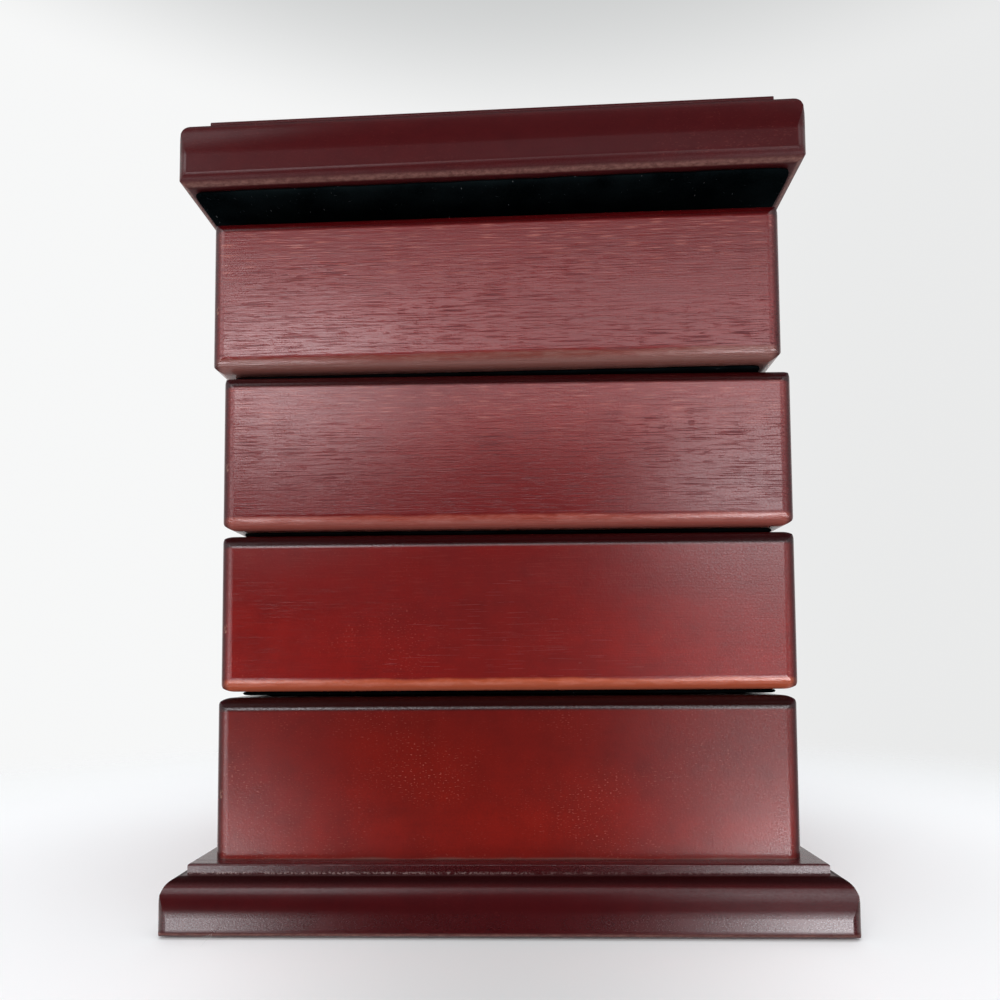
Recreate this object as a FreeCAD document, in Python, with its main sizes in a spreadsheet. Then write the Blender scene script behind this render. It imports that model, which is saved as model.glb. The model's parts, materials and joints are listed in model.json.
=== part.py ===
import FreeCAD, Part
import math
import os
import Sketcher

# Swivel jewelry box: a moulded base with a fixed bottom tray, three trays and a moulded lid
# that all swing on one pivot bolt through their rear left corners.
# Millimetres, +Z up, the front faces -Y, and the origin is the middle of the underside.

# Driving dimensions

SIZES = (
    ("tray_width", 140.0, "outside width and depth of every tray"),
    ("tray_height", 38.2, "height of every tray"),
    ("wall", 9.0, "thickness of the tray boards"),
    ("round_over", 3.4, "radius along the outer edges of the tray boards"),
    ("rim_round", 1.0, "radius along the inner top edge of the tray boards"),
    ("corner_round", 3.7, "radius of the upright outer corners of the trays"),
    ("floor_thickness", 4.0, "thickness of the tray floors"),
    ("rabbet", 4.0, "depth of the rabbet that holds a tray floor"),
    ("tier_gap", 1.4, "space between one tray and the next"),
    ("lid_gap", 6.2, "space between the top tray and the lid"),
    ("felt_thickness", 1.0, "thickness of the felt under the trays"),
    ("lid_felt_thickness", 1.5, "thickness of the felt under the lid"),
    ("felt_inset", 3.8, "wood left bare round the felt under a tray"),
    ("lid_felt_inset", 2.6, "wood left bare round the felt under the lid"),
    ("felt_corner", 1.5, "corner radius of the felt sheets"),
    ("lid_overhang", 5.4, "how far the lid reaches past the trays"),
    ("lid_thickness", 16.9, "thickness of the lid below its raised panel"),
    ("lid_face", 7.0, "height at which the lid's rounded edge starts"),
    ("lid_shoulder", 5.2, "width of the lid's rounded edge"),
    ("lid_crown", 4.4, "radius at the top of the lid's rounded edge"),
    ("lid_ledge", 0.6, "flat between the lid's rounded edge and its panel"),
    ("lid_panel", 2.8, "height of the lid's raised panel"),
    ("lid_under_round", 2.6, "radius along the lower edge of the lid"),
    ("base_overhang", 9.1, "how far the base reaches past the trays"),
    ("base_thickness", 12.6, "thickness of the base below its raised panel"),
    ("base_face", 4.4, "height at which the base's rounded edge starts"),
    ("base_shoulder", 4.4, "width of the base's rounded edge"),
    ("base_crown", 3.4, "radius at the top of the base's rounded edge"),
    ("base_ledge", 0.7, "flat between the base's rounded edge and its panel"),
    ("base_panel", 2.4, "height of the base's raised panel"),
    ("base_under_round", 1.3, "radius along the lower edge of the base"),
    ("panel_round", 0.5, "radius along the top edge of a raised panel"),
    ("board_corner", 2.6, "radius of the upright corners of lid and base"),
    ("base_felt", 0.5, "thickness of the felt under the base"),
    ("base_felt_inset", 3.0, "wood left bare round the felt under the base"),
    ("lining", 1.0, "thickness of the black lining inside a tray"),
    ("lining_drop", 4.0, "how far the lining and dividers stop below the rim"),
    ("divider", 4.0, "thickness of the dividers"),
    ("divider_round", 1.2, "radius along the top edges of a divider"),
    ("joint_play", 0.1, "play in the halved joint of two dividers"),
    ("block_side", 20.0, "side of the corner block that carries a bush"),
    ("block_round", 4.0, "radius of the block's exposed upright edge"),
    ("block_drop", 2.0, "how far a block stops below the rim"),
    ("bolt", 6.0, "diameter of the pivot bolt"),
    ("bolt_play", 0.1, "diametral running play of the bolt in its bushes"),
    ("bolt_point", 1.0, "bevel at the end of the bolt"),
    ("bolt_grip", 12.0, "length of the bolt inside the lid"),
    ("head", 12.0, "diameter of the bolt's head"),
    ("head_height", 3.2, "height of the bolt's head"),
    ("head_bevel", 0.6, "bevel round the bolt's head"),
    ("bush_wall", 1.5, "wall of a bush"),
    ("bush_flange", 2.0, "how far a bush's flange reaches past its wall"),
    ("flange_height", 1.0, "height of a bush's flange"),
    ("glue_gap", 0.05, "room for glue round a bush or insert"),
    ("washer", 14.0, "outer diameter of the washers between the tiers"),
    ("washer_play", 0.3, "air above a washer, and round the bolt"),
    ("felt_hole_play", 0.8, "room round a washer in the felt"),
    ("well_play", 1.5, "room round the bolt's head in the base"),
    ("head_recess", 1.2, "how far the bolt's head sits up in its well"),
    ("well_washer", 1.2, "thickness of the washer under the bolt's head"),
    ("insert_wall", 2.0, "wall of the threaded insert in the lid"),
    ("insert_length", 13.0, "length of the threaded insert"),
    ("thread_play", 0.04, "diametral room between bolt and insert"),
    ("roll", 12.0, "greatest width of a ring roll"),
    ("roll_foot", 9.0, "width of a ring roll's flat foot, drawn in from its bulge"),
    ("roll_gap", 0.3, "space between neighbouring ring rolls"),
    ("roll_end", 3.0, "corner radius at the ends of a ring roll"),
    ("roll_play", 0.4, "room between the ring rolls and what is round them"),
    ("lid_turn", 1.7, "degrees by which the lid stands open in the photograph"),
    ("tray_1_turn", 1.2, "degrees by which tray 1 stands open in the photograph"),
    ("tray_2_turn", -0.3, "degrees by which tray 2 stands open in the photograph"),
    ("tray_3_turn", -0.3, "degrees by which tray 3 stands open in the photograph"),
)
ROLL_COUNT = 5

doc = FreeCAD.newDocument("swivel_jewelry_box")
sheet = doc.addObject("Spreadsheet::Sheet", "sizes")
for row, (name, value, meaning) in enumerate(SIZES, start=1):
    sheet.set(f"A{row}", meaning)
    sheet.set(f"B{row}", str(value))
    sheet.setAlias(f"B{row}", name)
doc.recompute()


class Size:
    """A length that knows its number and the formula that ties it to the sheet."""

    def __init__(self, number, formula):
        self.number = number
        self.formula = formula

    def __add__(self, other):
        other = as_size(other)
        return Size(self.number + other.number, f"({self.formula} + {other.formula})")

    def __sub__(self, other):
        other = as_size(other)
        return Size(self.number - other.number, f"({self.formula} - {other.formula})")

    def __mul__(self, factor):
        factor = as_size(factor)
        return Size(self.number * factor.number, f"({self.formula} * {factor.formula})")

    def __truediv__(self, factor):
        factor = as_size(factor)
        return Size(self.number / factor.number, f"({self.formula} / {factor.formula})")

    def __neg__(self):
        return Size(-self.number, f"(0 - {self.formula})")


def as_size(value):
    return value if isinstance(value, Size) else Size(float(value), repr(float(value)))


def square_root(value):
    return Size(math.sqrt(value.number), f"sqrt({value.formula})")


ZERO = as_size(0)
size = {name: Size(value, f"sizes.{name}") for name, value, meaning in SIZES}

half = size["tray_width"] / 2
inner = half - size["wall"]
lined = inner - size["lining"]
pivot_x = -(inner - size["block_side"] / 2)
pivot_y = inner - size["block_side"] / 2

lid_half = half + size["lid_overhang"]
base_half = half + size["base_overhang"]
base_top = size["base_felt"] + size["base_thickness"] + size["base_panel"]
tier_pitch = size["tray_height"] + size["tier_gap"]
tray_bottom = {tray: base_top + tier_pitch * (4 - tray) for tray in (1, 2, 3, 4)}
lid_bottom = tray_bottom[1] + size["tray_height"] + size["lid_gap"]

bush_bore = size["bolt"] + size["bolt_play"]
bush_outside = bush_bore + size["bush_wall"] * 2
bush_seat = bush_outside + size["glue_gap"] * 2
block_height = size["tray_height"] - size["floor_thickness"] - size["block_drop"]
lining_height = size["tray_height"] - size["floor_thickness"] - size["lining_drop"]
divider_height = lining_height - size["lining"]


# Drawing helpers


def bind(feature, prop, value):
    """Ties one property of a feature to the sheet."""
    feature.setExpression(prop, as_size(value).formula)


def new_body(label):
    body = doc.addObject("PartDesign::Body", label)
    body.Label = label
    return body


def new_sketch(body, name, role, height=ZERO):
    """A sketch on one of the body's origin planes, raised by height."""
    sketch = body.newObject("Sketcher::SketchObject", name)
    plane = next(p for p in body.Origin.OriginFeatures if p.Role == role)
    sketch.AttachmentSupport = [(plane, "")]
    sketch.MapMode = "FlatFace"
    if height.number:
        bind(sketch, "AttachmentOffset.Base.z", height)
    return sketch


def fix_point(sketch, edge, end, x, y):
    """Dimensions one point of the sketch from the origin."""
    for kind, axis, value in (("DistanceX", -2, x), ("DistanceY", -1, y)):
        if abs(value.number) < 1e-9:
            sketch.addConstraint(Sketcher.Constraint("PointOnObject", edge, end, axis))
            continue
        index = sketch.addConstraint(Sketcher.Constraint(kind, edge, end, value.number))
        bind(sketch, f"Constraints[{index}]", value)


def draw_loop(sketch, corners, arcs=()):
    """Draws a closed loop, anticlockwise. arcs maps a side's number to its centre."""
    arcs = dict(arcs)
    corners = [(as_size(x), as_size(y)) for x, y in corners]
    first = sketch.GeometryCount
    count = len(corners)
    for side, (x, y) in enumerate(corners):
        start = FreeCAD.Vector(x.number, y.number, 0)
        next_x, next_y = corners[(side + 1) % count]
        end = FreeCAD.Vector(next_x.number, next_y.number, 0)
        if side in arcs:
            centre = FreeCAD.Vector(arcs[side][0].number, arcs[side][1].number, 0)
            angles = [math.atan2(p.y - centre.y, p.x - centre.x) for p in (start, end)]
            circle = Part.Circle(centre, FreeCAD.Vector(0, 0, 1), (start - centre).Length)
            sketch.addGeometry(Part.ArcOfCircle(circle, *angles))
        else:
            sketch.addGeometry(Part.LineSegment(start, end))
    for side, (x, y) in enumerate(corners):
        before = first + (side - 1) % count
        sketch.addConstraint(Sketcher.Constraint("Coincident", before, 2, first + side, 1))
        fix_point(sketch, first + side, 1, x, y)
    for side, (centre_x, centre_y) in arcs.items():
        index = sketch.addConstraint(
            Sketcher.Constraint("DistanceY", first + side, 3, centre_y.number)
        )
        bind(sketch, f"Constraints[{index}]", centre_y)


def draw_circle(sketch, x, y, diameter):
    edge = sketch.addGeometry(
        Part.Circle(
            FreeCAD.Vector(x.number, y.number, 0), FreeCAD.Vector(0, 0, 1), diameter.number / 2
        )
    )
    fix_point(sketch, edge, 3, x, y)
    index = sketch.addConstraint(Sketcher.Constraint("Diameter", edge, diameter.number))
    bind(sketch, f"Constraints[{index}]", diameter)


def pad(body, sketch, length, symmetric=False):
    feature = body.newObject("PartDesign::Pad", "pad")
    feature.Profile = sketch
    bind(feature, "Length", length)
    if symmetric:
        feature.SideType = "Symmetric"
    return feature


def rounded_loop(west, east, south, north, radius):
    """The corners and arcs of a rectangle with rounded corners."""
    corners = (
        (west + radius, south), (east - radius, south),
        (east, south + radius), (east, north - radius),
        (east - radius, north), (west + radius, north),
        (west, north - radius), (west, south + radius),
    )
    arcs = {
        1: (east - radius, south + radius),
        3: (east - radius, north - radius),
        5: (west + radius, north - radius),
        7: (west + radius, south + radius),
    }
    return corners, arcs


def rounded_plate(label, reach, radius, thickness, hole=None):
    """A square sheet or board round the middle, with a round hole at the pivot."""
    body = new_body(label)
    sketch = new_sketch(body, "plan", "XY_Plane")
    draw_loop(sketch, *rounded_loop(-reach, reach, -reach, reach, radius))
    if hole:
        draw_circle(sketch, pivot_x, pivot_y, hole)
    pad(body, sketch, thickness)
    return body


def turned(label, corners, arcs=()):
    """A piece turned about its own upright axis from half of its section."""
    body = new_body(label)
    sketch = new_sketch(body, "section", "XZ_Plane")
    draw_loop(sketch, corners, arcs)
    feature = body.newObject("PartDesign::Revolution", "turning")
    feature.Profile = sketch
    feature.ReferenceAxis = (sketch, ["V_Axis"])
    feature.Angle = 360
    return body


def at_pivot(piece, height):
    piece.Placement = FreeCAD.Placement(
        FreeCAD.Vector(pivot_x.number, pivot_y.number, as_size(height).number),
        FreeCAD.Rotation(),
    )


# Tiers: each has its height and the angle by which it stands swung open to the left

tier_height = {f"tray_{tray}": tray_bottom[tray] for tray in (1, 2, 3, 4)}
tier_height["lid"] = lid_bottom
tier_turn = {f"tray_{tray}": size[f"tray_{tray}_turn"] for tray in (1, 2, 3)}
tier_turn["tray_4"] = ZERO
tier_turn["lid"] = size["lid_turn"]

nodes = []


def in_tier(piece, tier, quarter=0, place=FreeCAD.Placement()):
    """Puts a piece drawn in its tier's own frame where the tier stands."""
    pivot = FreeCAD.Vector(pivot_x.number, pivot_y.number, 0)
    swing = FreeCAD.Rotation(FreeCAD.Vector(0, 0, 1), -tier_turn[tier].number)
    lift = FreeCAD.Vector(0, 0, tier_height[tier].number)
    stand = FreeCAD.Placement(lift, swing, pivot)
    side = FreeCAD.Placement(
        FreeCAD.Vector(), FreeCAD.Rotation(FreeCAD.Vector(0, 0, 1), 90 * quarter)
    )
    piece.Placement = stand * side * place
    nodes.append(piece)


def fixed(piece):
    nodes.append(piece)


# Tray boards: one section, mitred at both ends and rounded at the box's corners


def board_section(label, lower_round):
    """The front board before its ends are mitred."""
    face = -half
    back = -inner
    lip = back - size["rabbet"]
    top = size["tray_height"]
    edge = size["round_over"]
    rim = size["rim_round"]
    corners = [
        (lip, ZERO), (lip, size["floor_thickness"]), (back, size["floor_thickness"]),
        (back, top - rim), (back - rim, top), (face + edge, top), (face, top - edge),
    ]
    arcs = {3: (back - rim, top - rim), 5: (face + edge, top - edge)}
    if lower_round:
        corners += [(face, edge), (face + edge, ZERO)]
        arcs[7] = (face + edge, edge)
    else:
        corners += [(face, ZERO)]
    body = new_body(label)
    sketch = new_sketch(body, "section", "YZ_Plane")
    draw_loop(sketch, corners, arcs)
    pad(body, sketch, size["tray_width"], symmetric=True)
    return body


upper_board = board_section("upper_tray_moulding", lower_round=True)
bottom_board = board_section("bottom_tray_moulding", lower_round=False)

mitre_sector = new_body("mitre_sector")
mitre_sketch = new_sketch(mitre_sector, "plan", "XY_Plane")
draw_loop(mitre_sketch, ((-half, -half), (half, -half), (ZERO, ZERO)))
pad(mitre_sector, mitre_sketch, size["tray_height"])

tray_outline = rounded_plate(
    "tray_outline", half, size["corner_round"], size["tray_height"]
)

SIDES = ("front", "right", "back", "left")
for tray in (1, 2, 3, 4):
    for quarter, side in enumerate(SIDES):
        board = doc.addObject("Part::MultiCommon", f"tray_{tray}_{side}")
        board.Label = f"tray_{tray}_{side}"
        moulding = bottom_board if tray == 4 else upper_board
        board.Shapes = [moulding, mitre_sector, tray_outline]
        in_tier(board, f"tray_{tray}", quarter)


# Tray floors, corner blocks, linings and the felt under each swinging tray

for tray in (1, 2, 3, 4):
    tier = f"tray_{tray}"
    reach = inner + size["rabbet"]
    floor = rounded_plate(
        f"{tier}_floor", reach, size["panel_round"], size["floor_thickness"], bush_seat
    )
    in_tier(floor, tier)

    block = new_body(f"{tier}_pivot_block")
    plan = new_sketch(block, "plan", "XY_Plane", size["floor_thickness"])
    west, east = -inner, -inner + size["block_side"]
    south, north = inner - size["block_side"], inner
    edge = size["block_round"]
    draw_loop(
        plan,
        (
            (west, south), (east - edge, south), (east, south + edge),
            (east, north), (west, north),
        ),
        {1: (east - edge, south + edge)},
    )
    draw_circle(plan, pivot_x, pivot_y, bush_seat)
    pad(block, plan, block_height)
    in_tier(block, tier)

    # the lining is a shallow open tray that goes round the corner block
    liner = new_body(f"{tier}_lining")
    outer = new_sketch(liner, "outer_plan", "XY_Plane", size["floor_thickness"])
    draw_loop(
        outer,
        (
            (-inner, -inner), (inner, -inner), (inner, inner),
            (east, inner), (east, south), (-inner, south),
        ),
    )
    pad(liner, outer, lining_height)
    hollow = new_sketch(
        liner, "inner_plan", "XY_Plane", size["floor_thickness"] + size["lining"]
    )
    nap = size["lining"]
    draw_loop(
        hollow,
        (
            (-lined, -lined), (lined, -lined), (lined, lined),
            (east + nap, lined), (east + nap, south - nap), (-lined, south - nap),
        ),
    )
    well = liner.newObject("PartDesign::Pocket", "hollow")
    well.Profile = hollow
    well.Type = "Length"
    bind(well, "Length", lining_height)
    well.Reversed = True
    in_tier(liner, tier)

washer_hole = size["washer"] + size["felt_hole_play"] * 2
for tray in (1, 2, 3):
    felt = rounded_plate(
        f"tray_{tray}_felt",
        half - size["felt_inset"],
        size["felt_corner"],
        size["felt_thickness"],
        washer_hole,
    )
    in_tier(
        felt,
        f"tray_{tray}",
        place=FreeCAD.Placement(
            FreeCAD.Vector(0, 0, -size["felt_thickness"].number), FreeCAD.Rotation()
        ),
    )


# Dividers: upright boards on the lining, halved together where two cross


def divider(label, tier, start, end, across, along_x=True, slot_at=None, slot_low=False):
    """A divider from start to end on one axis, at across on the other."""
    body = new_body(label)
    thick = size["divider"]
    foot = size["floor_thickness"] + size["lining"]
    top = foot + divider_height
    edge = size["divider_round"]
    section = new_sketch(body, "section", "XZ_Plane" if not along_x else "YZ_Plane")
    near, far = across - thick / 2, across + thick / 2
    draw_loop(
        section,
        (
            (near, foot), (far, foot), (far, top - edge),
            (far - edge, top), (near + edge, top), (near, top - edge),
        ),
        {2: (far - edge, top - edge), 4: (near + edge, top - edge)},
    )
    length = new_sketch(body, "length", "XY_Plane", foot)
    bar = pad(body, section, half * 2, symmetric=True)
    trim = body.newObject("PartDesign::Pocket", "ends")
    for low, high in ((-half - thick, start), (end, half + thick)):
        west, east = (low, high) if along_x else (near - thick, far + thick)
        south, north = (near - thick, far + thick) if along_x else (low, high)
        draw_loop(length, ((west, south), (east, south), (east, north), (west, north)))
    trim.Profile = length
    trim.Type = "ThroughAll"
    trim.Reversed = True
    if slot_at is not None:
        gap = thick / 2 + size["joint_play"] / 2
        slot = new_sketch(
            body, "slot", "XY_Plane", foot if slot_low else foot + divider_height / 2
        )
        low, high = slot_at - gap, slot_at + gap
        west, east = (low, high) if along_x else (near - thick, far + thick)
        south, north = (near - thick, far + thick) if along_x else (low, high)
        draw_loop(slot, ((west, south), (east, south), (east, north), (west, north)))
        cut = body.newObject("PartDesign::Pocket", "halving")
        cut.Profile = slot
        cut.Type = "Length"
        bind(cut, "Length", divider_height / 2 + size["joint_play"] / 2)
        cut.Reversed = True
    in_tier(body, tier)
    return bar


play = size["roll_play"]
roll_pitch = size["roll"] + size["roll_gap"]
ring_zone = roll_pitch * ROLL_COUNT + play
ring_divider = -lined + ring_zone + size["divider"] / 2
divider("tray_1_cross_divider", "tray_1", -lined, lined, ring_divider)
divider(
    "tray_1_back_divider", "tray_1", ring_divider + size["divider"] / 2, lined, ZERO,
    along_x=False,
)
divider("tray_2_cross_divider", "tray_2", -lined, lined, ZERO, slot_at=ZERO)
divider(
    "tray_2_long_divider", "tray_2", -lined, lined, ZERO,
    along_x=False, slot_at=ZERO, slot_low=True,
)
divider("tray_3_cross_divider", "tray_3", -lined, lined, ZERO)


# Ring rolls: soft rolls side by side at the front of the top tray, rings go between them

roll_reach = lined - play
roll_radius = size["roll"] / 2
foot_reach = size["roll_foot"] / 2
roll_heart = square_root(roll_radius * roll_radius - foot_reach * foot_reach)

roll_bar = new_body("roll_bar")
bulge = new_sketch(roll_bar, "section", "YZ_Plane")
draw_loop(bulge, ((-foot_reach, ZERO), (foot_reach, ZERO)), {1: (ZERO, roll_heart)})
pad(roll_bar, bulge, roll_reach * 2, symmetric=True)

roll_plan = new_body("roll_plan")
ends = new_sketch(roll_plan, "plan", "XY_Plane")
draw_loop(
    ends, *rounded_loop(-roll_reach, roll_reach, -roll_radius, roll_radius, size["roll_end"])
)
pad(roll_plan, ends, roll_heart + roll_radius)

rolls = []
for number in range(ROLL_COUNT):
    roll = doc.addObject("Part::MultiCommon", f"ring_roll_{number + 1}")
    roll.Shapes = [roll_bar, roll_plan]
    middle = -lined + play + roll_pitch * (number + 0.5) - size["roll_gap"] / 2
    roll.Placement = FreeCAD.Placement(
        FreeCAD.Vector(0, middle.number, (size["floor_thickness"] + size["lining"]).number),
        FreeCAD.Rotation(),
    )
    rolls.append(roll)
ring_rolls = doc.addObject("Part::Compound", "ring_rolls")
ring_rolls.Label = "ring_rolls"
ring_rolls.Links = rolls
in_tier(ring_rolls, "tray_1")


# Lid and base: boards with a raised panel and a rounded shoulder, the same on all four sides


def moulded_section(label, role, reach, edge):
    """The board's section, drawn across its whole width and run straight through."""
    thickness, face, shoulder = edge["thickness"], edge["face"], edge["shoulder"]
    crown, under = edge["crown"], edge["under_round"]
    top = thickness + edge["panel"]
    panel_reach = reach - shoulder - edge["ledge"]
    crisp = size["panel_round"]
    # the shoulder is a long flat arc that runs into a short round one, tangent where they meet
    rise = thickness - face
    lean = (shoulder - crown) / (rise - crown)
    whole = as_size(1) + lean * lean
    sine = lean * 2 / whole
    cosine = (as_size(1) - lean * lean) / whole
    sweep = (rise - crown) / sine + crown
    meet = (reach - sweep + sweep * cosine, face + sweep * sine)
    flat_centre = (reach - sweep, face)
    round_centre = (reach - shoulder, thickness - crown)

    right_side = (
        (reach - under, ZERO), (reach, under), (reach, face), meet,
        (reach - shoulder, thickness), (panel_reach, thickness),
        (panel_reach, top - crisp), (panel_reach - crisp, top),
    )
    left_side = tuple((-x, y) for x, y in reversed(right_side))
    right_arcs = {
        0: (reach - under, under),
        2: flat_centre,
        3: round_centre,
        6: (panel_reach - crisp, top - crisp),
    }
    last = len(right_side) * 2 - 2
    arcs = dict(right_arcs)
    for side, (x, y) in right_arcs.items():
        arcs[last - side] = (-x, y)
    body = new_body(label)
    sketch = new_sketch(body, "section", role)
    draw_loop(sketch, right_side + left_side, arcs)
    pad(body, sketch, reach * 2, symmetric=True)
    return body


def moulded_board(name, reach):
    """The two straight sections crossed, which mitres the moulding at the corners."""
    parts = ("thickness", "face", "shoulder", "crown", "ledge", "panel", "under_round")
    edge = {part: size[f"{name}_{part}"] for part in parts}
    crossed = [
        moulded_section(f"{name}_{way}", role, reach, edge)
        for way, role in (("widthwise", "XZ_Plane"), ("depthwise", "YZ_Plane"))
    ]
    outline = rounded_plate(
        f"{name}_outline", reach, size["board_corner"], edge["thickness"] + edge["panel"]
    )
    board = doc.addObject("Part::MultiCommon", f"{name}_blank")
    board.Shapes = crossed + [outline]
    return board


def drilled(label, blank, drills):
    """The blank less round holes at the pivot, each given as diameter, foot and depth."""
    holes = []
    for number, (diameter, foot, depth) in enumerate(drills, start=1):
        hole = doc.addObject("Part::Cylinder", f"{label}_drill_{number}")
        bind(hole, "Radius", diameter / 2)
        bind(hole, "Height", depth)
        at_pivot(hole, foot)
        holes.append(hole)
    tool = holes[0]
    if len(holes) > 1:
        tool = doc.addObject("Part::MultiFuse", f"{label}_drills")
        tool.Shapes = holes
    board = doc.addObject("Part::Cut", label)
    board.Label = label
    board.Base = blank
    board.Tool = tool
    return board


insert_outside = size["bolt"] + size["thread_play"] + size["insert_wall"] * 2
insert_seat = insert_outside + size["glue_gap"] * 2
lid_blank = moulded_board("lid", lid_half)
lid_board = drilled(
    "lid_board", lid_blank, [(insert_seat, ZERO, size["insert_length"] + size["glue_gap"])]
)
in_tier(lid_board, "lid")

lid_felt = rounded_plate(
    "lid_felt",
    lid_half - size["lid_felt_inset"],
    size["felt_corner"],
    size["lid_felt_thickness"],
    washer_hole,
)
in_tier(
    lid_felt,
    "lid",
    place=FreeCAD.Placement(
        FreeCAD.Vector(0, 0, -size["lid_felt_thickness"].number), FreeCAD.Rotation()
    ),
)

well_diameter = size["head"] + size["well_play"] * 2
well_depth = size["head_recess"] + size["head_height"] + size["well_washer"]
well_depth = well_depth + size["washer_play"]
base_rise = size["base_thickness"] + size["base_panel"]
base_blank = moulded_board("base", base_half)
base_board = drilled(
    "base_board",
    base_blank,
    [(bush_seat, ZERO, base_rise), (well_diameter, ZERO, well_depth)],
)
base_board.Placement = FreeCAD.Placement(
    FreeCAD.Vector(0, 0, size["base_felt"].number), FreeCAD.Rotation()
)
fixed(base_board)

fixed(
    rounded_plate(
        "base_felt_sheet",
        base_half - size["base_felt_inset"],
        size["felt_corner"],
        size["base_felt"],
    )
)


# Pivot: one bolt through every tier, turning in a flanged bush in each tray


def bush(label, foot, top):
    """A bush whose flange rests on top of its corner block."""
    bore, outside = bush_bore / 2, bush_outside / 2
    piece = turned(
        label,
        (
            (bore, foot), (outside, foot), (outside, top),
            (outside + size["bush_flange"], top),
            (outside + size["bush_flange"], top + size["flange_height"]),
            (bore, top + size["flange_height"]),
        ),
    )
    return piece


pivot_place = FreeCAD.Placement(
    FreeCAD.Vector(pivot_x.number, pivot_y.number, 0), FreeCAD.Rotation()
)
block_top = size["floor_thickness"] + block_height
for tray in (1, 2, 3):
    in_tier(bush(f"tray_{tray}_bush", ZERO, block_top), f"tray_{tray}", place=pivot_place)
# the bottom tray's bush goes on through the base, and also pins the tray to it
in_tier(
    bush("tray_4_bush", -(base_rise - well_depth), block_top), "tray_4", place=pivot_place
)

head_foot = size["base_felt"] + size["head_recess"]
head_top = head_foot + size["head_height"]
bolt_top = lid_bottom + size["bolt_grip"]
bolt_radius = size["bolt"] / 2
pivot_bolt = turned(
    "pivot_bolt",
    (
        (ZERO, head_foot), (size["head"] / 2 - size["head_bevel"], head_foot),
        (size["head"] / 2, head_foot + size["head_bevel"]), (size["head"] / 2, head_top),
        (bolt_radius, head_top), (bolt_radius, bolt_top - size["bolt_point"]),
        (bolt_radius - size["bolt_point"], bolt_top), (ZERO, bolt_top),
    ),
)
at_pivot(pivot_bolt, ZERO)
fixed(pivot_bolt)

lid_insert = turned(
    "lid_insert",
    (
        ((size["bolt"] + size["thread_play"]) / 2, ZERO), (insert_outside / 2, ZERO),
        (insert_outside / 2, size["insert_length"]),
        ((size["bolt"] + size["thread_play"]) / 2, size["insert_length"]),
    ),
)
in_tier(lid_insert, "lid", place=pivot_place)


def washer(label, height):
    bore = size["bolt"] / 2 + size["washer_play"]
    rim = size["washer"] / 2
    return turned(
        label, ((bore, ZERO), (rim, ZERO), (rim, height), (bore, height))
    )


# each tray carries a washer on its bush's flange, and the top tray a thicker one for the lid
flange_top = block_top + size["flange_height"]
below_rim = size["tray_height"] - flange_top
for tray in (1, 2, 3, 4):
    room = size["lid_gap"] if tray == 1 else size["tier_gap"]
    name = "lid_spacer" if tray == 1 else f"tray_{tray}_washer"
    rest = FreeCAD.Placement(
        FreeCAD.Vector(pivot_x.number, pivot_y.number, flange_top.number), FreeCAD.Rotation()
    )
    in_tier(washer(name, below_rim + room - size["washer_play"]), f"tray_{tray}", place=rest)

head_washer = washer("head_washer", size["well_washer"])
at_pivot(head_washer, head_top)
fixed(head_washer)


# Checks and files

doc.recompute()
for item in doc.Objects:
    if "Invalid" in item.State or "Error" in item.State:
        raise RuntimeError(f"{item.Label} did not build: {item.State}")
for piece in nodes:
    if piece.Shape.isNull() or not piece.Shape.isValid() or not piece.Shape.Solids:
        raise RuntimeError(f"{piece.Label} has no sound solid")

os.makedirs("parts", exist_ok=True)
for piece in nodes:
    piece.Shape.exportStep(f"parts/{piece.Label}.step")
print(len(nodes), "nodes written")
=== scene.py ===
import json
import math
import random

import bmesh
import bpy
from mathutils import Matrix, Vector

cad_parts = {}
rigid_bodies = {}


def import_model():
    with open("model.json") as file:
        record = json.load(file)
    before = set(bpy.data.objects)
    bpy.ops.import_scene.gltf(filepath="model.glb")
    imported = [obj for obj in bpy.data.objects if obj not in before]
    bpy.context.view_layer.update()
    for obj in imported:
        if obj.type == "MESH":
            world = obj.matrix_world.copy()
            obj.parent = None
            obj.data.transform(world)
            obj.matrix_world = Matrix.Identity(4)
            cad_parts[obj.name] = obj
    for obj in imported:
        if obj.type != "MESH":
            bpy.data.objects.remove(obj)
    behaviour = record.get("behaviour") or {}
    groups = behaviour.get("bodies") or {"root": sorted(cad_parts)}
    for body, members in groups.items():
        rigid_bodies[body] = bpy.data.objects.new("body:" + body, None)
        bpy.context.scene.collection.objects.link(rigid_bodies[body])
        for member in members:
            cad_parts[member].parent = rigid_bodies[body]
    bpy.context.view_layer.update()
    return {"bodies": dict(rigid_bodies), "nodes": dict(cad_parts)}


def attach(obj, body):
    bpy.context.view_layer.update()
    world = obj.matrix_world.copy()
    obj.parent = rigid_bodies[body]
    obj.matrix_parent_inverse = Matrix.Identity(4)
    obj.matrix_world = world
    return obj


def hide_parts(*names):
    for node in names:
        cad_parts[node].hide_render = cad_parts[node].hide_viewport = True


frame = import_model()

nodes = frame["nodes"]
MM = 0.001

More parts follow.
